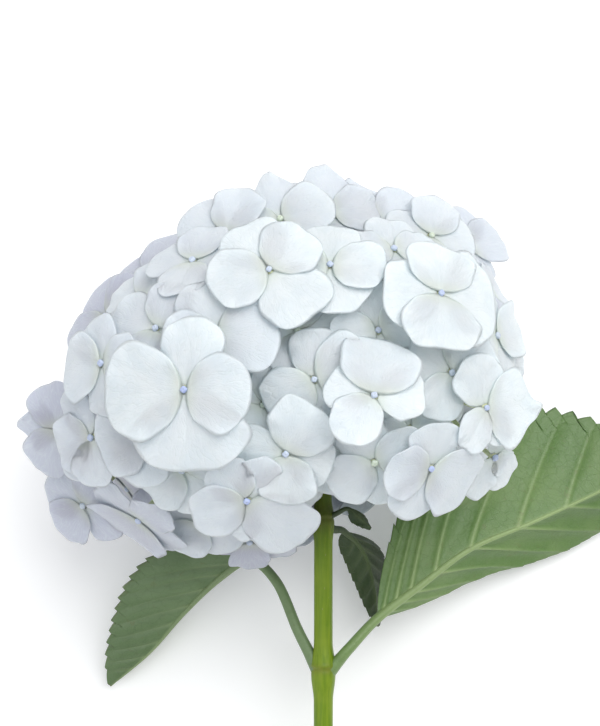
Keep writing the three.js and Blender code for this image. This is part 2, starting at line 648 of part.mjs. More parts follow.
const bodies = florets.map((floret) => toManifold(floretBody(floret)));

// A stalk that would pass through a neighbour's petal passes through a notch in it instead.
florets.forEach((floret, index) => {
  florets.forEach((other, second) => {
    const crossed = second !== index && floret.stalk.intersect(bodies[second]).volume() > 0;
    if (crossed) {
      bodies[second] = largestPiece(bodies[second].subtract(floret.stalk)).simplify(SLIVER);
    }
  });
});

const group = new THREE.Group();
group.name = 'cut_hydrangea';

// Branches: a rod from the peduncle's top to each fork, and a ray to each pedicel of that fork.
function cymeBody(cyme) {
  const fork = new THREE.Vector3(...cyme.fork);
  const direction = fork.clone().sub(branchPoint).normalize();
  const foot = branchPoint.clone().addScaledVector(direction, STEM_RADIUS.top + 2.2);
  const below = fork.clone().addScaledVector(direction, -BRANCH.knuckle);
  const above = fork.clone().addScaledVector(direction, BRANCH.knuckle);
  let solid = rod(foot, fork, BRANCH.base, BRANCH.fork)
    .add(rod(below, above, BRANCH.knuckle, BRANCH.knuckle));
  florets.forEach((floret, index) => {
    if (floret.fork.distanceTo(fork) > 0.1) {
      return;
    }
    const joined = floret.byRule;
    const away = fork.clone().sub(floret.eye);
    const reach = away.length() * (1 - PEDICEL_SHARE) + (joined ? 0.6 : -GAP);
    const end = fork.clone().addScaledVector(away.normalize(), -reach);
    solid = solid.add(rod(fork, end, BRANCH.fork, BRANCH.tip));
    if (joined) {
      solid = solid.add(bodies[index]);
    }
  });
  return solid;
}

const pieces = [{ name: 'stem', solid: stemBody(), colour: STEM_COLOUR }];
LEAVES.forEach((leaf, index) => {
  pieces.push({ name: leaf.name, solid: leafSolids[index], colour: LEAF_COLOUR });
});
CYMES.forEach((cyme) => {
  const colour = cyme.joined ? PETAL_COLOUR : STEM_COLOUR;
  pieces.push({ name: cyme.name, solid: cymeBody(cyme).simplify(SLIVER), colour });
});
bodies.slice(0, handPlaced.length).forEach((solid, index) => {
  const name = `floret_${String(index + 1).padStart(2, '0')}`;
  pieces.push({ name, solid, colour: PETAL_COLOUR });
});
pieces.forEach(({ name, solid, colour }) => {
  addMesh(group, name, manifoldGeometry(solid), colour);
});

const bounds = new THREE.Box3().setFromObject(group);
const middle = bounds.getCenter(new THREE.Vector3());
group.children.forEach((mesh) => mesh.geometry.translate(-middle.x, -middle.y, -bounds.min.z));

export default group;
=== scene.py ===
import math

import bpy
import numpy as np
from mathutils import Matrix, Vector


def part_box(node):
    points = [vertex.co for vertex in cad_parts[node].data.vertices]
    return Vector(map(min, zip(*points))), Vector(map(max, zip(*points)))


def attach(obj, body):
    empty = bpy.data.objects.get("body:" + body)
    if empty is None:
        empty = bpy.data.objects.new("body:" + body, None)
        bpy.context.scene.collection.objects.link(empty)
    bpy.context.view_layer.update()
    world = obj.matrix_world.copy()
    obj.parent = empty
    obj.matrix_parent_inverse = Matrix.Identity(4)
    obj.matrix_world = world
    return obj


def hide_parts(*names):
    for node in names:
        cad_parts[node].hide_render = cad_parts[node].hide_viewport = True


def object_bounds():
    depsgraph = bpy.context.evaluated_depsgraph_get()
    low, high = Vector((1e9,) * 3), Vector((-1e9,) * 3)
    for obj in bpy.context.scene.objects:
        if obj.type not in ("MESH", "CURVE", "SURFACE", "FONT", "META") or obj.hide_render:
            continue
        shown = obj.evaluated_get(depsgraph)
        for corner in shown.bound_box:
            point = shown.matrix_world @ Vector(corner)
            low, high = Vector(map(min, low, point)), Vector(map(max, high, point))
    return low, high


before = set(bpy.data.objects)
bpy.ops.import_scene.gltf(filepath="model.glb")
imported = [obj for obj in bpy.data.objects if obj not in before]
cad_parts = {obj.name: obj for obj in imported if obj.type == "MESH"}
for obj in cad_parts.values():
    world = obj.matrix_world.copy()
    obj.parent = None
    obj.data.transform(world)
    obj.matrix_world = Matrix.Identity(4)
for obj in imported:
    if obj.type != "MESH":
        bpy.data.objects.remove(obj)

# A cut white mophead hydrangea lying on its back. Shapes are worked out in the plant's own frame,
# in millimetres: X to its right, Y up the stem, Z out of its front, origin inside the flower head.
# The florets' places, facings and petals are read from the CAD nodes.

cad_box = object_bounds()
MM = 0.001

# ---------------------------------------------------------------- plant frame

LEAN = math.radians(18)     # the stem's slope as the plant lies
STEM_X = 12.0               # the stem's axis runs up from STEM_END to STEM_TOP at this X
STEM_END = -205.0
LOWER_NODE = -105.0
UPPER_NODE = -51.0
STEM_TOP = -31.0
FOOT_RADIUS = 3.5           # of the stem at its cut end
PRESS = 0.4 * MM            # how softly petals are pressed onto the surface

COS, SIN = math.cos(LEAN), math.sin(LEAN)
TILT = np.array([[1, 0, 0], [0, COS, -SIN], [0, SIN, COS]])
stem_low, stem_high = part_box("stem")
SHIFT = np.array([
    (stem_low.x + stem_high.x) / 2 - STEM_X * MM,
    stem_low.y - (STEM_END * COS - FOOT_RADIUS * SIN) * MM,
    stem_low.z - (STEM_END * SIN - FOOT_RADIUS * COS) * MM,
])


def to_world(points):
    """Plant millimetres to world metres."""
    return (np.asarray(points) @ TILT.T) * MM + SHIFT


def to_plant(points):
    """World metres to plant millimetres."""
    return ((np.asarray(points) - SHIFT) / MM) @ TILT


def pressed(height):
    """Heights over the surface the plant lies on: what would dip below it is pressed flat onto it."""
    return PRESS * np.logaddexp(0, height / PRESS)


def unit(vector):
    """Vectors of length 1 along the last axis."""
    vector = np.asarray(vector, float)
    return vector / np.maximum(np.linalg.norm(vector, axis=-1, keepdims=True), 1e-9)


def smooth(low, high, value):
    """A soft step from 0 at low to 1 at high."""
    share = np.clip((np.asarray(value, float) - low) / (high - low), 0, 1)
    return share * share * (3 - 2 * share)


# ---------------------------------------------------------------- mesh building

class Surface:
    """Collects grids of points into one mesh, with a tone and a grain value at each point."""

    def __init__(self):
        self.points, self.faces, self.slots = [], [], []
        self.tones, self.grains = [], []
        self.count = 0

    def add_points(self, points, tone, grain):
        """Adds points and gives back the number of the first."""
        points = np.asarray(points, float).reshape(-1, 3)
        self.points.append(points)
        self.tones.append(np.broadcast_to(tone, (len(points), 4)))
        self.grains.append(np.broadcast_to(grain, (len(points), 3)))
        first = self.count
        self.count += len(points)
        return first

    def add_faces(self, faces, slot):
        faces = np.asarray(faces, int).reshape(-1, 4)
        self.faces.append(faces)
        self.slots.append(np.full(len(faces), slot))

    def sheet(self, grid, normals, thickness, slot, tone, grain):
        """A thin closed sheet: the grid's two sides, which meet along its rim."""
        rows, columns = grid.shape[:2]
        inside = np.zeros((rows, columns), bool)
        inside[1:-1, 1:-1] = True
        half = thickness / 2 * inside[..., None]
        tone = np.broadcast_to(tone, (rows, columns, 4)).reshape(-1, 4)
        grain = np.broadcast_to(grain, (rows, columns, 3)).reshape(-1, 3)
        first = self.add_points(grid + normals * half, tone, grain)
        upper = first + np.arange(rows * columns).reshape(rows, columns)
        flat = inside.reshape(-1)
        second = self.add_points((grid - normals * half).reshape(-1, 3)[flat], tone[flat], grain[flat])
        lower = upper.copy()
        lower[inside] = second + np.arange(flat.sum())
        for index, order in ((upper, (0, 1, 2, 3)), (lower, (3, 2, 1, 0))):
            corners = [index[:-1, :-1], index[:-1, 1:], index[1:, 1:], index[1:, :-1]]
            self.add_faces(np.stack([corners[corner] for corner in order], -1), slot)

    def tube(self, path, radii, sides, slot, tone, ripple=None):
        """A round stalk along a path, with closed ends; ripple makes it out of round."""
        path = np.asarray(path, float)
        count = len(path)
        along = unit(np.gradient(path, axis=0))
        across = np.zeros_like(path)
        guide = np.array([0.0, 0.0, 1.0]) if abs(along[0][2]) < 0.9 else np.array([1.0, 0.0, 0.0])
        for index in range(count):
            guide = unit(guide - along[index] * np.dot(guide, along[index]))
            across[index] = guide
        other = np.cross(along, across)
        angle = np.arange(sides) * 2 * math.pi / sides
        radii = np.broadcast_to(np.asarray(radii, float), (count,))[:, None] * np.ones((1, sides))
        if ripple is not None:
            radii = radii * ripple(np.arange(count)[:, None] / (count - 1), angle[None, :])
        rings = (path[:, None] + across[:, None] * (radii * np.cos(angle))[..., None]
                 + other[:, None] * (radii * np.sin(angle))[..., None])
        length = np.concatenate([[0], np.cumsum(np.linalg.norm(np.diff(path, axis=0), axis=1))])
        grain = np.zeros((count, sides, 3))
        grain[..., 0] = np.cos(angle) * radii
        grain[..., 1] = length[:, None]
        grain[..., 2] = np.sin(angle) * radii
        tone = np.asarray(tone, float)
        if tone.ndim == 2:
            tone = np.repeat(tone[:, None], sides, 1).reshape(-1, 4)
        first = self.add_points(rings, tone, grain.reshape(-1, 3))
        index = first + np.arange(count * sides).reshape(count, sides)
        after = np.roll(index, -1, 1)
        self.add_faces(np.stack([index[:-1], after[:-1], after[1:], index[1:]], -1), slot)
        for ring, turn in ((0, -1), (-1, 1)):
            tip_tone = tone if tone.ndim == 1 else tone.reshape(count, sides, 4)[ring, 0]
            centre = self.add_points(path[ring], tip_tone, grain[ring].mean(0))
            near, far = (index[ring], after[ring])[::turn]
            self.add_faces(np.stack([near, far, np.full(sides, centre), near], -1), slot)

    def build(self, name, materials):
        """One mesh object of everything collected, in world coordinates."""
        points = to_world(np.concatenate(self.points))
        points[:, 2] = pressed(points[:, 2])
        faces = np.concatenate(self.faces)
        slots = np.concatenate(self.slots)
        quads = [face if face[0] != face[3] else face[:3] for face in faces.tolist()]
        mesh = bpy.data.meshes.new(name)
        mesh.from_pydata(points.tolist(), [], quads)
        mesh.polygons.foreach_set("material_index", slots)
        mesh.polygons.foreach_set("use_smooth", np.ones(len(quads), bool))
        tone = mesh.attributes.new("tone", "FLOAT_COLOR", "POINT")
        tone.data.foreach_set("color", np.concatenate(self.tones).astype(np.float32).ravel())
        grain = mesh.attributes.new("grain", "FLOAT_VECTOR", "POINT")
        grain.data.foreach_set("vector", np.concatenate(self.grains).astype(np.float32).ravel())
        for material in materials:
            mesh.materials.append(material)
        mesh.update()
        piece = bpy.data.objects.new(name, mesh)
        bpy.context.scene.collection.objects.link(piece)
        return piece


def grid_normals(grid):
    """The direction square to a grid of points, at each of them."""
    return unit(np.cross(np.gradient(grid, axis=1), np.gradient(grid, axis=0)))


def spline(points, count, start=0.0, end=1.0):
    """Evenly stepped points on a smooth curve through the given ones."""
    points = np.asarray(points, float)
    ghost = np.vstack([2 * points[0] - points[1], points, 2 * points[-1] - points[-2]])
    place = np.linspace(start, end, count) * (len(points) - 1)
    segment = np.minimum(place.astype(int), len(points) - 2)
    t = (place - segment)[:, None]
    a, b, c, d = (ghost[segment + step] for step in range(4))
    return 0.5 * (2 * b + (c - a) * t + (2 * a - 5 * b + 4 * c - d) * t ** 2
                  + (3 * b - a - 3 * c + d) * t ** 3)


# ---------------------------------------------------------------- materials

SCATTER_DEPTH = 2.5 * MM    # how far light travels inside a petal


class Nodes:
    """Short names for building a shader node tree."""

    def __init__(self, name):
        self.material = bpy.data.materials.new(name)
        self.material.use_nodes = True
        self.tree = self.material.node_tree
        self.shader = next(n for n in self.tree.nodes if n.type == "BSDF_PRINCIPLED")

    def feed(self, socket, value):
        """Links a socket to another node's output, or sets its value."""
        if isinstance(value, bpy.types.NodeSocket):
            self.tree.links.new(value, socket)
        elif isinstance(value, tuple) and len(value) == 3 and socket.type == "RGBA":
            socket.default_value = (*value, 1)
        else:
            socket.default_value = value

    def attribute(self, name, output):
        node = self.tree.nodes.new("ShaderNodeAttribute")
        node.attribute_name = name
        return node.outputs[output]

    def channels(self, vector, kind="ShaderNodeSeparateXYZ"):
        node = self.tree.nodes.new(kind)
        self.feed(node.inputs[0], vector)
        return list(node.outputs)

    def vector(self, x, y, z):
        node = self.tree.nodes.new("ShaderNodeCombineXYZ")
        for socket, value in zip(node.inputs, (x, y, z)):
            self.feed(socket, value)
        return node.outputs[0]

    def math(self, operation, first, second=0.0, third=0.0, clamp=False):
        node = self.tree.nodes.new("ShaderNodeMath")
        node.operation = operation
        node.use_clamp = clamp
        for socket, value in zip(node.inputs, (first, second, third)):
            self.feed(socket, value)
        return node.outputs[0]

    def ramp(self, value, low, high, start=0.0, end=1.0):
        """A soft step from start to end as a value goes from low to high."""
        node = self.tree.nodes.new("ShaderNodeMapRange")
        node.interpolation_type = "SMOOTHSTEP"
        for socket, given in zip(node.inputs, (value, low, high, start, end)):
            self.feed(socket, given)
        return node.outputs[0]

    def noise(self, place, scale, detail=3.0, roughness=0.55):
        node = self.tree.nodes.new("ShaderNodeTexNoise")
        self.feed(node.inputs["Vector"], place)
        for name, value in (("Scale", scale), ("Detail", detail), ("Roughness", roughness)):
            node.inputs[name].default_value = value
        return node.outputs[0]

    def cells(self, place, scale, feature="DISTANCE_TO_EDGE"):
        """The distance to the borders, or with F1 to the centres, of irregular cells."""
        node = self.tree.nodes.new("ShaderNodeTexVoronoi")
        node.feature = feature
        self.feed(node.inputs["Vector"], place)
        node.inputs["Scale"].default_value = scale
        return node.outputs["Distance"]

    def mix(self, share, first, second, blend="MIX"):
        node = self.tree.nodes.new("ShaderNodeMix")
        node.data_type = "RGBA"
        node.blend_type = blend
        colours = [socket for socket in node.inputs if socket.type == "RGBA"]
        self.feed(node.inputs[0], share)
        self.feed(colours[0], first)
        self.feed(colours[1], second)
        return next(socket for socket in node.outputs if socket.type == "RGBA")

    def bump(self, height, strength, distance):
        node = self.tree.nodes.new("ShaderNodeBump")
        node.inputs["Strength"].default_value = strength
        node.inputs["Distance"].default_value = distance
        self.feed(node.inputs["Height"], height)
        return node.outputs["Normal"]

    def finish(self, colour, roughness, normal, subsurface=0.0, scatter=(1, 1, 1), sheen=0.0,
               specular=0.5):
        """Connects the shader and gives back the material."""
        self.feed(self.shader.inputs["Base Color"], colour)
        self.feed(self.shader.inputs["Roughness"], roughness)
        self.feed(self.shader.inputs["Normal"], normal)
        self.shader.inputs["Subsurface Weight"].default_value = subsurface
        self.shader.inputs["Subsurface Radius"].default_value = scatter
        self.shader.inputs["Subsurface Scale"].default_value = SCATTER_DEPTH
        self.shader.inputs["Sheen Weight"].default_value = sheen
        self.shader.inputs["Specular IOR Level"].default_value = specular
        return self.material


def petal_material():
    """Cool white petal: tone holds lavender (partly painted shade), green, shade and age; veins fan out
    from its base.
    """
    n = Nodes("petal")
    lavender_and_shade, green, shade = n.channels(n.attribute("tone", "Color"), "ShaderNodeSeparateColor")[:3]
    age = n.attribute("tone", "Alpha")
    grain = n.attribute("grain", "Vector")
    side, along, seed = n.channels(grain)
    fan = n.math("ARCTAN2", side, n.math("ADD", along, 2.5))
    waver = n.noise(grain, 0.22, 2.0)
    spread = n.math("ADD", n.math("MULTIPLY", fan, 5.2), n.math("MULTIPLY", waver, 1.1))
    vein_cells = n.vector(n.math("ADD", spread, seed), n.math("MULTIPLY", along, 0.07), seed)
    edge = n.cells(vein_cells, 2.4)
    veins = n.ramp(edge, 0.0, 0.11, 1.0, 0.0)
    fine = n.cells(n.vector(n.math("MULTIPLY", spread, 2.0), n.math("MULTIPLY", along, 0.35), seed), 1.6)
    net = n.ramp(fine, 0.0, 0.12, 1.0, 0.0)
    cloud = n.noise(n.vector(side, along, seed), 0.13, 4.0)

    white = n.mix(n.ramp(cloud, 0.3, 0.7), (0.695, 0.795, 0.845), (0.765, 0.850, 0.880))
    # lavender-grey: the florets' own lavender tint, and painted shade on the head's left, rim and back
    tinted = n.mix(lavender_and_shade, white, (0.455, 0.47, 0.585))
    tinted = n.mix(green, tinted, (0.60, 0.69, 0.42))
    veined = n.mix(n.math("MULTIPLY", veins, 0.20), tinted, (0.66, 0.75, 0.76))
    veined = n.mix(n.math("MULTIPLY", net, 0.07), veined, (0.62, 0.71, 0.74))
    speck = n.ramp(n.noise(n.vector(side, along, seed), 0.9, 5.0, 0.7), 0.68, 0.72)
    aged = n.mix(n.math("MULTIPLY", speck, age), veined, (0.48, 0.40, 0.30))
    dark = n.mix(shade, aged, (0.33, 0.35, 0.36), "MULTIPLY")

    height = n.math("SUBTRACT", n.math("MULTIPLY", n.noise(grain, 0.9, 3.0), 0.25),
                    n.math("ADD", veins, n.math("MULTIPLY", net, 0.35)))
    roughness = n.ramp(cloud, 0.2, 0.8, 0.48, 0.60)
    return n.finish(dark, roughness, n.bump(height, 0.30, 0.00030), subsurface=0.6,
                    scatter=(0.9, 1.0, 1.0), sheen=0.06, specular=0.35)


def eye_material():
    """The little bud in a floret's middle: tone runs from powder blue to pale green."""
    n = Nodes("eye")
    blue, green, shade = n.channels(n.attribute("tone", "Color"), "ShaderNodeSeparateColor")[:3]
    grain = n.attribute("grain", "Vector")
    colour = n.mix(blue, (0.70, 0.76, 0.70), (0.36, 0.44, 0.74))
    colour = n.mix(green, colour, (0.58, 0.68, 0.30))
    mottle = n.noise(grain, 2.2, 3.0)
    colour = n.mix(n.ramp(mottle, 0.45, 0.7, 0.0, 0.35), colour, (0.80, 0.84, 0.88))
    colour = n.mix(shade, colour, (0.4, 0.4, 0.4), "MULTIPLY")
    return n.finish(colour, 0.5, n.bump(mottle, 0.4, 0.0003), subsurface=0.2)


def stalk_material():
    """Pedicels and branches of the head: pale yellow-green, watery, faintly streaked."""
    n = Nodes("stalk")
    tone = n.channels(n.attribute("tone", "Color"), "ShaderNodeSeparateColor")
    deep, shade = tone[1], tone[2]
    side, along, other = n.channels(n.attribute("grain", "Vector"))
    streak = n.noise(n.vector(n.math("MULTIPLY", side, 2.6), n.math("MULTIPLY", along, 0.12),
                              n.math("MULTIPLY", other, 2.6)), 1.0, 3.0)
    colour = n.mix(deep, (0.72, 0.76, 0.52), (0.40, 0.52, 0.16))
    colour = n.mix(n.ramp(streak, 0.4, 0.68, 0.0, 0.5), colour, (0.50, 0.56, 0.24))
    colour = n.mix(shade, colour, (0.4, 0.42, 0.36), "MULTIPLY")
    return n.finish(colour, 0.45, n.bump(streak, 0.35, 0.0004), subsurface=0.2)


def stem_material():
    """Smooth bright green stem: tone holds browning, pith and shade; small pale lenticels."""
    n = Nodes("stem")
    brown, pith, shade = n.channels(n.attribute("tone", "Color"), "ShaderNodeSeparateColor")[:3]
    grain = n.attribute("grain", "Vector")
    side, along, other = n.channels(grain)
    streak = n.noise(n.vector(n.math("MULTIPLY", side, 0.9), n.math("MULTIPLY", along, 0.035),
                              n.math("MULTIPLY", other, 0.9)), 1.3, 5.0, 0.6)
    patch = n.noise(grain, 0.07, 3.0)
    dots = n.cells(n.vector(n.math("MULTIPLY", side, 0.55), n.math("MULTIPLY", along, 0.22),
                            n.math("MULTIPLY", other, 0.55)), 1.0, "F1")
    lenticel = n.ramp(dots, 0.06, 0.13, 1.0, 0.0)
    colour = n.mix(n.ramp(streak, 0.3, 0.7), (0.115, 0.210, 0.006), (0.190, 0.280, 0.012))
    colour = n.mix(n.ramp(patch, 0.45, 0.75, 0.0, 0.5), colour, (0.235, 0.310, 0.025))
    colour = n.mix(n.math("MULTIPLY", brown, n.ramp(streak, 0.25, 0.75, 0.55, 1.0)), colour,
                   (0.155, 0.115, 0.035))
    colour = n.mix(n.math("MULTIPLY", lenticel, 0.45), colour, (0.30, 0.26, 0.12))
    fibre = n.ramp(n.noise(grain, 1.6, 5.0), 0.35, 0.65)
    cut = n.mix(fibre, (0.50, 0.55, 0.30), (0.72, 0.74, 0.52))
    colour = n.mix(pith, colour, cut)
    colour = n.mix(shade, colour, (0.4, 0.42, 0.36), "MULTIPLY")
    height = n.math("ADD", streak, n.math("MULTIPLY", lenticel, 0.4))
    roughness = n.ramp(patch, 0.3, 0.7, 0.34, 0.46)
    return n.finish(colour, roughness, n.bump(height, 0.35, 0.0005), subsurface=0.08, specular=0.3)


def leaf_material(name, blade, patchy, vein, gloss):
    """A leaf: tone holds vein, age, shade and midrib; grain runs across and along the blade."""
    n = Nodes(name)
    ribs, brown, shade = n.channels(n.attribute("tone", "Color"), "ShaderNodeSeparateColor")[:3]
    grain = n.attribute("grain", "Vector")
    warp = n.noise(grain, 0.35, 2.0)
    shifted = n.channels(grain)
    warp = n.math("MULTIPLY", warp, 3.0)
    place = n.vector(n.math("ADD", shifted[0], warp), n.math("ADD", shifted[1], warp), 0.0)
    net = n.ramp(n.cells(place, 0.27), 0.0, 0.06, 1.0, 0.0)
    fine = n.ramp(n.cells(place, 1.1), 0.0, 0.12, 1.0, 0.0)
    cloud = n.noise(grain, 0.045, 4.0)
    colour = n.mix(n.ramp(cloud, 0.35, 0.68), blade, patchy)
    dark_lines = tuple(channel * 0.62 for channel in blade)
    colour = n.mix(n.math("MULTIPLY", net, 0.22), colour, dark_lines)
    colour = n.mix(n.math("MULTIPLY", fine, 0.08), colour, vein)
    colour = n.mix(ribs, colour, vein)
    spots = n.ramp(n.noise(grain, 0.30, 5.0, 0.7), 0.60, 0.66)
    colour = n.mix(n.math("MAXIMUM", brown, n.math("MULTIPLY", spots, 0.22)), colour, (0.13, 0.10, 0.035))
    colour = n.mix(shade, colour, (0.35, 0.36, 0.33), "MULTIPLY")
    height = n.math("ADD", n.math("MULTIPLY", net, 0.35), n.math("MULTIPLY", fine, 0.25))
    roughness = n.ramp(cloud, 0.3, 0.7, gloss, gloss + 0.12)
    return n.finish(colour, roughness, n.bump(height, 0.35, 0.0004), subsurface=0.06, specular=0.45)


PETAL = petal_material()
EYE = eye_material()
STALK = stalk_material()
STEM = stem_material()
UNDERSIDE = leaf_material("leaf_underside", (0.095, 0.185, 0.045), (0.145, 0.235, 0.075),
                          (0.30, 0.40, 0.17), 0.33)
UPPERSIDE = leaf_material("leaf_upperside", (0.105, 0.175, 0.070), (0.140, 0.215, 0.098),
                          (0.23, 0.31, 0.15), 0.36)
SHADED = leaf_material("leaf_shaded", (0.030, 0.058, 0.018), (0.048, 0.082, 0.028),
                       (0.09, 0.13, 0.05), 0.40)
FLORET_SLOTS = [PETAL, EYE, STALK]
IN_PETAL, IN_EYE, IN_STALK = range(3)       # their places in a floret's list of materials

# ---------------------------------------------------------------- florets, read from the CAD

EYE_HEIGHT = 1.6            # of a floret's apex over its middle
EYE_RADIUS = 1.7            # where its petals begin
APEX_NEIGHBOURS = (8, 10)   # for four and for five petals
APEX_TOLERANCE = 0.05
FIRST_SHARE = 0.17          # a petal's first middle point lies this far along it
EDGE_POINTS = ((0.45, 0.45), (0.86, 0.39))      # its edge points: share along, share of its width
NARROWEST, BROADEST = 0.75, 1.3     # a petal's least and greatest width, as a share of its length
FLORET_DEPTH = 9            # no point of a petal is further than this from the floret's plane
PEDICEL_SHARE = 0.38        # a floret's own node holds this share of its pedicel
WELD = 0.004                # points closer than this are one

FORKS = {                   # where each branch of the head divides
    "branch_left_low": (-24, -22, 34), "branch_left_high": (-28, 10, 34),
    "branch_top": (8, 22, 32), "branch_middle": (18, -14, 44), "branch_right": (42, 2, 24),
    "cyme_left": (-44, -12, 0), "cyme_right": (50, -12, -8), "cyme_crown": (0, 30, -8),
    "cyme_back_left": (-24, 0, -26), "cyme_back_right": (26, 4, -26),
    "cyme_underside": (0, -22, -22),
}


def node_points(name):
    """A CAD node's separate points in the plant frame, and which points share a triangle edge."""
    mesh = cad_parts[name].data
    co = np.zeros(len(mesh.vertices) * 3, np.float32)
    mesh.vertices.foreach_get("co", co)
    points = to_plant(co.reshape(-1, 3).astype(float))
    keys, inverse = np.unique(np.round(points / WELD).astype(int), axis=0, return_inverse=True)
    inverse = inverse.reshape(-1)
    merged = np.zeros((len(keys), 3))
    merged[inverse] = points
    neighbours = [set() for _ in keys]
    for polygon in mesh.polygons:
        corners = [int(inverse[vertex]) for vertex in polygon.vertices]
        for first, second in zip(corners, corners[1:] + corners[:1]):
            if first != second:
                neighbours[first].add(second)
                neighbours[second].add(first)
    return merged, neighbours


def floret_axes(facing):
    """Two directions across a floret: to its right and up."""
    across = unit(np.cross((0, 1, 0), facing))
    return across, np.cross(facing, across)


def find_fork(points, eye):
    """The fork whose line to the eye has the pedicel's end on it."""
    def miss(fork):
        end = eye + (np.array(fork) - eye) * PEDICEL_SHARE
        return np.linalg.norm(points - end, axis=1).min()
    return np.array(min(FORKS.values(), key=miss), float)


def find_apexes(points, neighbours):
    """Each floret's apex: its index, the points round it and the way the floret faces.

    Half of an apex's neighbours are the valleys between petals, which are all equally far from it.
    """
    valley_distance = math.hypot(EYE_HEIGHT, EYE_RADIUS)
    found = []
    for index, ring in enumerate(neighbours):
        around = sorted(ring)
        if len(around) not in APEX_NEIGHBOURS:
            continue
        offsets = points[around] - points[index]
        misses = np.abs(np.linalg.norm(offsets, axis=1) - valley_distance)
        valleys = np.argsort(misses)[:len(around) // 2]
        if misses[valleys].max() <= APEX_TOLERANCE:
            found.append((index, around, unit(-offsets[valleys].mean(0))))
    return found


def read_petals(local, around, mine):
    """Direction, length and width of each petal, from points in the floret's own axes."""
    radius = np.hypot(local[:, 0], local[:, 1])
    angle = np.arctan2(local[:, 1], local[:, 0])
    order = sorted(around, key=lambda i: abs(np.linalg.norm(local[i]) - EYE_RADIUS))
    petals = []
    for start in sorted(order[len(around) // 2:], key=lambda i: angle[i]):
        length = radius[start] / FIRST_SHARE
        turn = (angle - angle[start] + math.pi) % (2 * math.pi) - math.pi
        along, side = radius * np.cos(turn) / length, np.abs(radius * np.sin(turn))
        widths = [NARROWEST * length]
        for share, width_share in EDGE_POINTS:
            edge = mine & (np.abs(along - share) < 0.02) & (np.abs(turn) < 1.0)
            widths += list(side[edge] / width_share)
        width = min(max(widths), BROADEST * length)
        petals.append((float(angle[start]), float(length), float(width)))
    return petals


def read_florets(name):
    """Every floret in a node: its eye, its facing, its petals and the fork that it grows from."""
    points, neighbours = node_points(name)
    found = find_apexes(points, neighbours)
    apexes = np.array([points[index] for index, _, _ in found])
    owner = np.argmin(np.linalg.norm(points[:, None] - apexes[None], axis=2), axis=1)
    florets = []
    for rank, (index, around, facing) in enumerate(found):
        eye = points[index] - facing * EYE_HEIGHT
        across, upward = floret_axes(facing)
        local = np.stack([(points - eye) @ axis for axis in (across, upward, facing)], -1)
        mine = (owner == rank) & (np.abs(local[:, 2]) < FLORET_DEPTH)
        petals = read_petals(local, around, mine)
        florets.append({"eye": eye, "facing": facing, "petals": petals, "fork": find_fork(points, eye)})
    return florets


# ---------------------------------------------------------------- florets, drawn

GRID = 21                   # points across a petal
SHEET = 0.32                # a petal's thickness
PETAL_START = 0.5           # petals leave the floret's middle this far out
PETAL_RISE = 0.10           # they rise at first and then bend back round this radius
PETAL_CURVE = 52.0
LEVEL = 0.35                # every other petal lies this far over the floret's plane, the rest under
PETAL_LONGER = 1.07         # drawn petals are fuller than the CAD's angular ones
PETAL_WIDER = 1.24
CROWDED_WIDER = 1.02        # in a floret of five petals
JOINED_WIDER = 1.16         # in the florets between and behind the others
EGG = 0.12                  # how much a petal widens outwards
WOBBLE = 0.018              # of its outline, as a share of its size
CREASE_WIDTH = 1.1
BUD_GRID = (9, 28)          # rings and sides of a bud
NECK = 4.0                  # a pedicel leaves its floret straight for at least this far
HEAD = np.array([84.0, 62.0, 72.0])         # the flower head's half sizes


def disc_grid(count):
    """Points of a round disc on a square grid, as (across, along) from -1 to 1."""
    line = np.linspace(-1, 1, count)
    u, v = np.meshgrid(line, line)
    return u * np.sqrt(1 - v * v / 2), v * np.sqrt(1 - u * u / 2)


DISC_U, DISC_V = disc_grid(GRID)


def petal_shape(rng, length, width, style):
    """Local petal surface: side, along and height in millimetres.

    A style's point narrows the petal's end, and its other entries shape the height.
    """
    point = style.get("point", 0.0)
    share = (DISC_V + 1) / 2
    egg = 1 + EGG * DISC_V - point * smooth(0.35, 1.0, share) * 0.75
    side = DISC_U * width / 2 * egg
    along = length * (share + 0.08 * point * smooth(0.7, 1, share))
    along += style["skew"] * side * smooth(0.2, 0.9, share)
    notch = rng.uniform(-0.02, 0.035)
    along -= length * notch * np.exp(-(side / (0.12 * width)) ** 2) * smooth(0.8, 1.0, share)
    reach = np.hypot(DISC_U, DISC_V)
    angle = np.arctan2(DISC_U, -DISC_V)
    rim = smooth(0.45, 1.0, reach) * smooth(0.05, 0.45, share)
    wobble = rng.uniform(-1, 1, 4)
    side += width * WOBBLE * rim * np.sin(5 * angle + 6 * wobble[0])
    along += length * WOBBLE * rim * np.sin(4 * angle + 6 * wobble[1])

    height = PETAL_RISE * along - along ** 2 / (2 * PETAL_CURVE)
    height += style["lift"] * (along / length) ** 2
    height += style["cup"] * (2 * side / width) ** 2 * (0.35 + 0.65 * share)
    height += style["twist"] * (2 * side / width) * share
    crease = np.exp(-np.abs(side) / CREASE_WIDTH) * smooth(0.0, 0.25, share) * (1.1 - share)
    height -= style["crease"] * crease
    height += style["ruffle"] * rim * np.sin(rng.integers(3, 6) * angle + 6 * wobble[2])
    height += 0.45 * style["ruffle"] * rim * np.sin(rng.integers(7, 11) * angle + 6 * wobble[3])
    height += 0.16 * np.sin(9 * np.arctan2(side, along + 3) + 5 * wobble[0]) * smooth(0.1, 0.6, share)
    return side, along, height


def floret_lavender_and_shade(floret, rng):
    """Lavender-grey towards the left, the rim and the back of the head, cool white in its middle: partly
    the florets' own lavender, partly painted shade where less light falls.
    """
    x, y, z = floret["eye"]
    left = smooth(15, -85, x)
    rim = smooth(30, 62, abs(y)) * 0.35
    back = smooth(50, 5, z) * 0.55
    return float(np.clip(0.04 + 0.55 * left + rim + back + rng.uniform(-0.14, 0.14), 0, 1))


def inside_shade(points):
    """How deep a point lies in the head, used for painted shade: 0 on the outside, up to 1 in the middle.
    """
    scaled = points / HEAD
    return 1 - smooth(0.55, 0.93, np.linalg.norm(scaled, axis=-1))


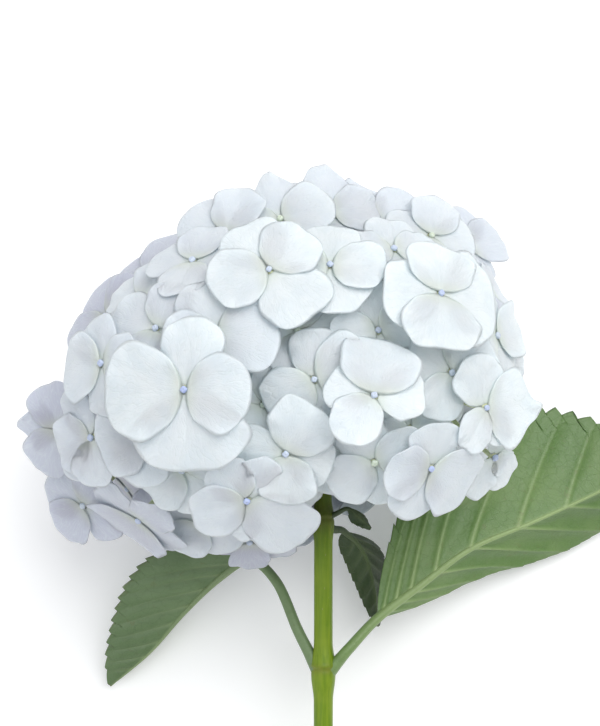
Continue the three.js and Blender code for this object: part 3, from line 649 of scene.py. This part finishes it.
def draw_bud(surface, floret, rng, tone):
    """The round bud in a floret's middle, faintly lobed, with a dimple on top."""
    across, upward = floret_axes(floret["facing"])
    rings, sides = BUD_GRID
    polar = np.linspace(0.04, 1.0, rings)[:, None] * math.pi * 0.62
    angle = np.arange(sides + 1)[None, :] * 2 * math.pi / sides
    size = rng.uniform(0.95, 1.2)
    lobes = 1 + 0.07 * np.cos(4 * (angle - floret["petals"][0][0]))
    radius = size * np.sin(polar) * lobes
    height = size * (0.55 + np.cos(polar)) * 0.85
    height = height - 0.28 * np.exp(-(radius / 0.35) ** 2)
    grid = (floret["eye"] + across * (radius * np.cos(angle))[..., None]
            + upward * (radius * np.sin(angle))[..., None]
            + floret["facing"] * (height + 0.15)[..., None])
    first = surface.add_points(grid, tone, grid.reshape(-1, 3))
    index = first + np.arange(rings * (sides + 1)).reshape(rings, sides + 1)
    corners = [index[:-1, :-1], index[1:, :-1], index[1:, 1:], index[:-1, 1:]]
    surface.add_faces(np.stack(corners, -1), IN_EYE)


def pedicel_path(floret, count=26):
    """From under the eye, straight down the floret's neck, then in a curve to its fork."""
    eye, facing, fork = floret["eye"], floret["facing"], floret["fork"]
    t = np.linspace(0, 1, count)[:, None]
    pull = np.linalg.norm(fork - eye) * 0.33
    handles = [eye - facing * 0.2, eye - facing * max(pull, NECK), fork + (eye - fork) * 0.3, fork]
    a, b, c, d = handles
    return (1 - t) ** 3 * a + 3 * (1 - t) ** 2 * t * b + 3 * (1 - t) * t ** 2 * c + t ** 3 * d


def draw_floret(surface, floret, seed, wider=PETAL_WIDER, special=None):
    """A floret's petals, each a little different, and its bud."""
    rng = np.random.default_rng(seed)
    special = special or {}
    eye, facing = floret["eye"], floret["facing"]
    across, upward = floret_axes(facing)
    # the florets' own lavender tint plus painted shade towards the head's left, rim and back
    lavender_and_shade = special.get("lavender_and_shade", floret_lavender_and_shade(floret, rng))
    opening = rng.uniform(-0.6, 0.9)
    if len(floret["petals"]) > 4:
        wider = CROWDED_WIDER
    for order, (angle, length, width) in enumerate(floret["petals"]):
        raised = order % 2 == 0
        between = order == 4            # a fifth petal lies under the first and over the fourth
        style = {
            "lift": opening + rng.uniform(-0.3, 0.4),
            "cup": rng.uniform(0.2, 1.3) if raised else rng.uniform(-1.6, -0.7),
            "twist": rng.uniform(-0.35, 0.35),
            "crease": rng.uniform(0.2, 0.6),
            "ruffle": rng.uniform(0.2, 0.55),
            "skew": rng.uniform(-0.10, 0.10),
        }
        if between:
            style.update(lift=opening - 0.3, cup=-0.25, twist=0.0)
        style.update(special.get("petals", {}).get(order, {}))
        side, along, height = petal_shape(rng, length * PETAL_LONGER, width * wider, style)
        height = height + (0.0 if between else LEVEL if raised else -LEVEL)
        outward = across * math.cos(angle) + upward * math.sin(angle)
        sideways = -across * math.sin(angle) + upward * math.cos(angle)
        grid = (eye + sideways * side[..., None] + outward * (along + PETAL_START)[..., None]
                + facing * height[..., None])
        share = along / length
        tone = np.zeros((*share.shape, 4))
        tone[..., 0] = np.clip(lavender_and_shade + rng.uniform(-0.10, 0.10) - 0.1 * share, 0, 1)
        depth = np.clip(inside_shade(grid), 0, 1)
        tone[..., 1] = 0.40 * np.exp(-(along / 3.4) ** 2) + 0.22 * depth
        # painted shade deep in the head
        tone[..., 2] = depth * 0.4
        tone[..., 3] = rng.uniform(0, 0.25) + 0.3 * smooth(0.8, 1.0, np.hypot(DISC_U, DISC_V))
        grain = np.stack([side, along, np.full_like(side, rng.uniform(0, 50))], -1)
        surface.sheet(grid, grid_normals(grid), SHEET, IN_PETAL, tone, grain)
    blue = special.get("blue", rng.uniform(0.25, 0.75))
    green = 0.0 if blue > 0.4 else 0.45
    draw_bud(surface, floret, rng, (blue, green, 0, 1))


def stalk_tone(path, green):
    """Tone along a stalk: how green it is, and the shade inside the head."""
    tone = np.zeros((len(path), 4))
    tone[:, 1] = green
    tone[:, 2] = np.clip(inside_shade(path), 0, 1) * 0.75
    return tone


def draw_pedicel(surface, floret, start, end):
    """The part of a floret's stalk between two shares of its way; it flares under the petals."""
    path = pedicel_path(floret)
    low, high = int(start * (len(path) - 1)), int(end * (len(path) - 1))
    part = path[low:high + 1]
    share = np.linspace(start, end, len(part))
    radii = 0.72 + 0.28 * share + 0.75 * np.exp(-share / 0.045)
    surface.tube(part, radii, 10, IN_STALK, stalk_tone(part, 0.15 + 0.5 * share))


KNOT = np.array([STEM_X, STEM_TOP, 0.0])    # where all branches of the head meet

# What sets some of the florets apart; petals are counted anticlockwise from the floret's left
SPECIAL = {
    "floret_01": {"blue": 0.95, "lavender_and_shade": 0.10},
    "floret_02": {"lavender_and_shade": 0.12, "petals": {2: {"cup": -1.2}}},
    "floret_04": {"lavender_and_shade": 0.02, "blue": 0.8},
    "floret_07": {"lavender_and_shade": 0.42, "blue": 0.9},
    "floret_08": {"lavender_and_shade": 0.40, "blue": 0.9},
    "floret_13": {"petals": {2: {"point": 1.0}}},
    "floret_25": {"petals": {3: {"point": 0.9}}},
    "floret_26": {"petals": {3: {"point": 0.5}}},
    "floret_27": {"petals": {3: {"point": 1.0}}},
    "floret_39": {"petals": {3: {"point": 1.0}}},
}


def put(piece, slot, *nodes):
    """Attaches a piece to the root body and hides the CAD nodes it stands for."""
    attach(piece, "root")
    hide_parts(*nodes)


def floret_piece(name, floret):
    """A floret with the upper part of its pedicel."""
    surface = Surface()
    draw_floret(surface, floret, int(name.split("_")[1]), special=SPECIAL.get(name))
    draw_pedicel(surface, floret, 0, PEDICEL_SHARE)
    return surface.build("look_" + name, FLORET_SLOTS)


def fork_piece(name, fork, seed, joined, carried):
    """A branch from the stem's top to its fork, its joined florets and the stalks it carries."""
    surface = Surface()
    for count, floret in enumerate(joined):
        floret["fork"] = fork
        draw_floret(surface, floret, seed + count, JOINED_WIDER)
        draw_pedicel(surface, floret, 0, 1)
    for floret in carried:
        draw_pedicel(surface, floret, PEDICEL_SHARE, 1)
    away = unit(fork - KNOT)
    path = spline([KNOT + away * 4.0, KNOT + (fork - KNOT) * 0.5, fork, fork + away * 1.5], 22)
    share = np.linspace(0, 1, len(path))
    radii = 1.75 - 0.45 * share + 0.7 * np.exp(-((share - 0.95) / 0.05) ** 2)
    surface.tube(path, radii, 14, IN_STALK, stalk_tone(path, 0.8 - 0.2 * share))
    return surface.build("look_" + name, FLORET_SLOTS)


by_fork = {}
for name in sorted(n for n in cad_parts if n.startswith("floret_")):
    floret = read_florets(name)[0]
    by_fork.setdefault(tuple(floret["fork"]), []).append(floret)
    put(floret_piece(name, floret), "petal", name)

for order, (name, fork) in enumerate(FORKS.items()):
    joined = read_florets(name) if name.startswith("cyme_") else []
    piece = fork_piece(name, np.array(fork, float), 1000 + 50 * order, joined, by_fork.get(fork, []))
    put(piece, "petal" if joined else "branch", name)

# ---------------------------------------------------------------- stem

STEM_PROFILE = [             # height and radius; it swells at both nodes and at its top
    (STEM_END, FOOT_RADIUS),
    (LOWER_NODE - 9, 3.45), (LOWER_NODE - 3, 4.35), (LOWER_NODE + 3, 4.45), (LOWER_NODE + 9, 3.35),
    (UPPER_NODE - 7, 3.3), (UPPER_NODE - 2, 3.95), (UPPER_NODE + 2, 4.05), (UPPER_NODE + 7, 3.0),
    (STEM_TOP - 8, 3.0), (STEM_TOP - 2, 5.0), (STEM_TOP + 3, 3.0),
]
STEM_RINGS = 300
BLEND_RINGS = 6             # rings to each side over which the profile is rounded
CUT_PROFILE = [             # share of the radius, and how far the face stands out there
    (0.02, 0.30), (0.25, 0.30), (0.45, 0.28), (0.55, 0.16), (0.62, 0.10), (0.80, 0.10),
    (0.90, 0.06), (1.0, 0.0),
]
CUT_RADIUS = 3.42
PITH = [(0, 1), (2.0, 1), (2.3, 0.75), (3.1, 0.55), (CUT_RADIUS, 0.1)]      # paleness by radius


def stem_radii(y):
    """The stem's rounded profile, with a ridge over a groove at each node."""
    radii = np.interp(y, *zip(*STEM_PROFILE))
    kernel = np.hanning(2 * BLEND_RINGS + 1)
    kernel = kernel / kernel.sum()
    padded = np.pad(radii, BLEND_RINGS, "edge")
    radii = np.convolve(padded, kernel, "valid")
    for node in (LOWER_NODE, UPPER_NODE):
        radii += 0.28 * np.exp(-((y - node - 2.6) / 0.55) ** 2)
        radii -= 0.30 * np.exp(-((y - node - 1.2) / 0.7) ** 2)
    return radii


def add_cut_end(surface):
    """A flat face with a wet rim and a paler pith that stands slightly proud."""
    share, rise = (np.array(column) for column in zip(*CUT_PROFILE))
    rings = share * CUT_RADIUS
    angle = np.linspace(0, 2 * math.pi, 49)
    grid = np.stack([STEM_X + rings[:, None] * np.cos(angle), STEM_END - rise[:, None] + 0 * angle,
                     rings[:, None] * np.sin(angle)], -1)
    tone = np.zeros((*grid.shape[:2], 4))
    tone[..., 1] = np.interp(rings, *zip(*PITH))[:, None]
    surface.sheet(grid, grid_normals(grid), 0.05, 0, tone, grid)


def stem_piece():
    """The stem: browned at its nodes and its cut end, with painted shade inside and under the head."""
    y = np.linspace(STEM_END, STEM_TOP + 3, STEM_RINGS)
    path = np.stack([np.full_like(y, STEM_X), y, np.zeros_like(y)], -1)
    tone = np.zeros((len(y), 4))
    browned = np.exp(-((y - UPPER_NODE - 2) / 5) ** 2) * 0.55
    browned += np.exp(-((y - LOWER_NODE - 1.5) / 1.6) ** 2) * 0.45
    browned += smooth(STEM_END + 5, STEM_END, y) * 0.5
    tone[:, 0] = np.clip(browned, 0, 0.9)
    # painted shade inside the head and on the stem's top under it
    tone[:, 2] = np.clip(inside_shade(path) + smooth(-66, -40, y) * 0.45, 0, 0.8)
    surface = Surface()
    surface.tube(path, stem_radii(y), 48, 0, tone, ripple=lambda share, angle: (
        1 + 0.014 * np.sin(6 * angle + 5 * share) + 0.01 * np.sin(2 * angle + 9 * share)))
    add_cut_end(surface)
    return surface.build("look_stem", [STEM])


put(stem_piece(), "stem", "stem")

# ---------------------------------------------------------------- leaves

# A midrib's first points, up to the one that petiole counts, are its petiole. Left and right give
# each half blade's direction and reach; bite scales its teeth. Veins are places along the midrib.
LEAVES = {
    "leaf_right": {
        "midrib": [(19.2, -104, 2), (21.5, -96, 2), (32, -86, -3), (47, -76, -10), (67, -63, -18),
                   (91, -54, -26), (120, -42, -34), (144, -30, -40)],
        "petiole": 2, "radius": 2.1, "widest": 0.62,
        "left": ((-0.52, 0.84, -0.14), 44), "right": ((0.40, -0.72, -0.56), 22),
        "teeth": 26, "veins": [2, 8, 15, 27, 44, 65, 86, 103, 116, 125], "slant": 1.05,
        "material": UNDERSIDE, "ridge": 0.7, "quilt": 1.15, "brown": 0.05, "bite": (1.5, 0.2),
    },
    "leaf_left": {
        "midrib": [(4.9, -104, 1), (2.5, -90, -3), (-5, -74, -9), (-15, -67, -16), (-27, -75, -22),
                   (-40, -88, -25), (-53, -103, -26), (-68, -116, -27.2)],
        "petiole": 3, "radius": 2.0, "widest": 0.4,
        "left": ((-0.45, -0.30, -0.84), 16), "right": ((-0.78, 0.58, 0.24), 25),
        "teeth": 17, "veins": [4, 11, 20, 29, 38, 47, 55, 62], "slant": 0.9,
        "material": UPPERSIDE, "ridge": -0.45, "quilt": -0.7, "brown": 0.22, "bite": (1.0, 1.0),
    },
    "leaf_back": {
        "midrib": [(14.2, -52, -5.7), (20, -56, -12), (27, -64, -18), (31, -76, -22), (33, -93, -24)],
        "petiole": 1, "radius": 1.4, "widest": 0.35,
        "left": ((0.60, 0.10, -0.79), 13), "right": ((-0.88, 0.05, 0.47), 9),
        "teeth": 12, "veins": [4, 10, 17, 24, 31], "slant": 0.9,
        "material": SHADED, "ridge": 0.4, "quilt": 0.5, "brown": 0.2, "bite": (1.0, 1.0),
    },
    "leaf_small": {
        "midrib": [(17.1, -49, 2.3), (20.5, -46, 4), (24, -48, 5), (29, -53, 5)],
        "petiole": 1, "radius": 0.9, "widest": 0.45,
        "left": ((0.5, 0.5, -0.7), 3), "right": ((-0.5, -0.6, 0.6), 3),
        "teeth": 5, "veins": [2, 4, 6], "slant": 0.9,
        "material": SHADED, "ridge": 0.12, "quilt": 0.15, "brown": 0.1, "bite": (1.0, 1.0),
    },
}
BLADE_BASE, BLADE_POINT = 0.8, 0.75         # how fast a blade widens from its base and to its tip
BLADE_SHEET = 0.45          # a blade's thickness
COLUMNS = 121               # points across a blade
ROWS_PER_TOOTH = 12
TOOTH_DEPTH = 0.075         # as a share of the blade's half width
TOOTH_LEAN = 11.7           # how far the teeth lean to the tip
VEIN_BEND = 0.006           # side veins curve to the tip by this much
RIGHT_SLANT = 1.35          # right-hand side veins slant more and start this much later
RIGHT_LATER = 1.5
MIDRIB_END = 0.97           # the midrib fades out here
MIDRIB_TAPER = (1.3, 1.05, 0.85, 0.42, 0.12)        # its radius as a share, from foot to end


def blade_width(share, widest):
    """Half width of a blade along its length, as a share of the greatest."""
    early = np.sin(np.pi / 2 * np.clip(share / widest, 0, 1)) ** BLADE_BASE
    late = np.cos(np.pi / 2 * np.clip((share - widest) / (1 - widest), 0, 1)) ** BLADE_POINT
    return np.maximum(early * late, 0.01)


def blade_normals(along, leaf):
    """The way the visible side faces, at each row, on the blade's left and right half."""
    left, right = (unit(np.cross(along, unit(leaf[half][0]))) for half in ("left", "right"))
    return (left, -right) if (left - right)[:, 2].mean() >= 0 else (-left, right)


def blade_rows(leaf):
    """What is the same all across a blade, at each row from its base to its tip."""
    midrib, teeth = leaf["midrib"], leaf["teeth"]
    centre = spline(midrib, teeth * ROWS_PER_TOOTH + 1, leaf["petiole"] / (len(midrib) - 1), 1)
    along = unit(np.gradient(centre, axis=0))
    travelled = np.concatenate([[0], np.cumsum(np.linalg.norm(np.diff(centre, axis=0), axis=1))])
    share = travelled / travelled[-1]
    phase = (share * teeth + 0.15 * np.sin(9 * share)) % 1
    tooth = (phase - 0.5) * TOOTH_DEPTH * smooth(0.04, 0.2, share) * np.where(phase > 0.93, 0.2, 1)
    return {"centre": centre, "along": along, "travelled": travelled, "share": share, "tooth": tooth,
            "width": blade_width(share, leaf["widest"]), "normals": blade_normals(along, leaf)}


def vein_ridges(ahead, veins, out, share):
    """Ridges along the side veins, and the bulge between them, where the blade is quilted."""
    gap = np.abs(ahead[:, None] - veins[None]).min(1)
    slot = np.searchsorted(veins, ahead)
    low = np.concatenate([[veins[0] - 12], veins])[slot]
    high = np.concatenate([veins, [veins[-1] + 10]])[slot]
    between = np.clip((ahead - low) / (high - low), 0, 1)
    fade = (1 - 0.75 * out) * smooth(0.0, 0.03, out + 0.02)
    ridge = np.exp(-(gap / (1.5 - 0.8 * out)) ** 2) * fade * (1 - 0.5 * share)
    quilt = np.sin(np.pi * between) * smooth(0.0, 0.25, out) * (1 - 0.6 * smooth(0.55, 1.0, out))
    quilt *= 0.35 + 0.65 * smooth(0.1, 0.4, share)
    return ridge, quilt


def blade_column(leaf, rows, value):
    """One line of a blade from base to tip, with its tone; value is -1 and 1 at the two rims."""
    out = abs(value)
    spread, reach = leaf["left"] if value < 0 else leaf["right"]
    share, width, along = rows["share"], rows["width"], rows["along"]
    bite = rows["tooth"] * smooth(0.55, 1.0, out) * leaf["bite"][int(value > 0)]
    lateral = out * reach * width * (1 + bite)
    slant = leaf["slant"] * (1 if value < 0 else RIGHT_SLANT)
    ahead = rows["travelled"] - slant * lateral - VEIN_BEND * lateral ** 2
    veins = np.array(leaf["veins"]) + (RIGHT_LATER if value > 0 else 0)
    ridge, quilt = vein_ridges(ahead, veins, out, share)
    height = leaf["ridge"] * ridge - leaf["quilt"] * quilt * np.minimum(width * 1.4, 1)
    height += 0.6 * np.sin(7 * share + 3 * value) * out * width
    height -= 1.6 * value * value * width
    turn = smooth(-0.25, 0.25, value)
    normal = unit(rows["normals"][0] * (1 - turn) + rows["normals"][1] * turn)
    tip = unit(spread) * lateral[:, None] + along * (TOOTH_LEAN * bite)[:, None]
    rib = np.exp(-(lateral / (1.3 - 0.9 * share)) ** 2)
    vein_tone = np.clip(0.95 * ridge ** 1.5 + 0.9 * rib, 0, 0.95)
    brown_tone = leaf["brown"] * smooth(0.93, 1.0, out) + 0.5 * smooth(0.985, 1, share)
    points = rows["centre"] + tip + normal * height[:, None]
    return points, lateral * (-1 if value < 0 else 1), vein_tone, brown_tone


def add_blade(surface, leaf, seed):
    """The serrated, quilted blade: one closed sheet."""
    rows = blade_rows(leaf)
    count = len(rows["share"])
    grid, grain = np.zeros((2, count, COLUMNS, 3))
    tone = np.zeros((count, COLUMNS, 4))
    t = np.linspace(-1, 1, COLUMNS)
    for column, value in enumerate(np.sign(t) * np.abs(t) ** 1.15):
        points, side, vein_tone, brown_tone = blade_column(leaf, rows, value)
        grid[:, column] = points
        tone[:, column, 0] = vein_tone
        tone[:, column, 1] = brown_tone
        grain[:, column, 0] = side
        grain[:, column, 1] = rows["travelled"]
    # painted shade: darker towards the blade's tip, on top of the painted shade under the head
    far = 0.22 * smooth(0.45, 1.0, rows["share"])[:, None]
    tone[..., 2] = np.clip(inside_shade(grid) * 0.9 + far, 0, 1)
    grain[..., 2] = np.random.default_rng(seed).uniform(0, 20)
    surface.sheet(grid, grid_normals(grid), BLADE_SHEET, 0, tone, grain)


def add_petiole(surface, leaf):
    """Petiole and midrib: one tapering stalk, rooted in the stem and sunk half into the blade."""
    midrib = leaf["midrib"]
    foot = np.array(midrib[0], float)
    root = np.array([STEM_X, foot[1], 0.0]) * 0.8 + foot * 0.2 - (0, 0.8 * leaf["radius"], 0)
    armpit = (root + np.array(midrib[1], float)) / 2
    stalk = spline([root, armpit, *midrib[1:]], 150, 0, MIDRIB_END)
    place = np.linspace(0, MIDRIB_END, len(stalk))
    base = (leaf["petiole"] + 1) / len(midrib)
    stations = [0, 1 / len(midrib), base, (1 + base) / 2, 1]
    radii = np.interp(place, stations, np.array(MIDRIB_TAPER) * leaf["radius"])
    tone = np.zeros((len(stalk), 4))
    tone[:, 0] = 0.3 + 0.5 * smooth(base * 0.7, base * 1.3, place)
    tone[:, 2] = np.clip(inside_shade(stalk) * 0.9, 0, 1)
    surface.tube(stalk, radii, 16, 0, tone)


def leaf_piece(name, leaf, seed):
    """A leaf: its blade with its petiole and midrib."""
    surface = Surface()
    add_blade(surface, leaf, seed)
    add_petiole(surface, leaf)
    return surface.build("look_" + name, [leaf["material"]])


for order, (name, leaf) in enumerate(LEAVES.items()):
    put(leaf_piece(name, leaf, 700 + order), "leaf", name)

# ---------------------------------------------------------------- floor, light, camera

PAPER_GLOW = 0.15           # keeps the shadow on the white paper pale
ground = min(cad_box[0][2], 0.0)
bpy.ops.mesh.primitive_plane_add(size=8, location=(0, 0, ground))
floor = bpy.context.object
floor.name = "floor"
paper = Nodes("paper")
fibres = paper.noise(paper.attribute("position", "Vector"), 90, 2.0)
floor.data.materials.append(paper.finish(
    (0.93, 0.93, 0.93), 0.9, paper.bump(fibres, 0.02, 0.0002), specular=0.1))
paper.shader.inputs["Emission Strength"].default_value = PAPER_GLOW


def area_light(name, place, target, size, power, colour=(1, 1, 1)):
    """A round soft light, in metres and watts, turned to its target."""
    data = bpy.data.lights.new(name, "AREA")
    data.shape = "DISK"
    data.size = size
    data.energy = power
    data.color = colour
    light = bpy.data.objects.new(name, data)
    bpy.context.scene.collection.objects.link(light)
    light.location = place
    light.rotation_euler = (Vector(target) - Vector(place)).to_track_quat("-Z", "Y").to_euler()


head = Vector(to_world((0, 0, 20)))
area_light("key", head + Vector((0.45, 0.35, 1.3)), head, 1.5, 19)
area_light("fill", head + Vector((-0.9, -0.6, 1.1)), head, 1.6, 6, (0.95, 0.97, 1.0))

scene = bpy.context.scene
world = bpy.data.worlds.new("studio")
world.use_nodes = True
world.node_tree.nodes["Background"].inputs["Color"].default_value = (0.97, 0.985, 1.0, 1)
world.node_tree.nodes["Background"].inputs["Strength"].default_value = 0.52
scene.world = world
scene.view_settings.view_transform = "Standard"

FRAME_HEIGHT = 261.4        # millimetres of the plant's middle plane that the view takes in
DISTANCE = 560.0
AIM = (3.6, 6.1, 0.0)
camera_data = bpy.data.cameras.new("camera")
camera_data.sensor_width = 36
camera_data.lens = 36 * DISTANCE / FRAME_HEIGHT
camera_data.clip_start = 0.01
camera = bpy.data.objects.new("camera", camera_data)
scene.collection.objects.link(camera)
camera.location = Vector(to_world((AIM[0], AIM[1], DISTANCE)))
camera.rotation_euler = (LEAN, 0, 0)
scene.camera = camera
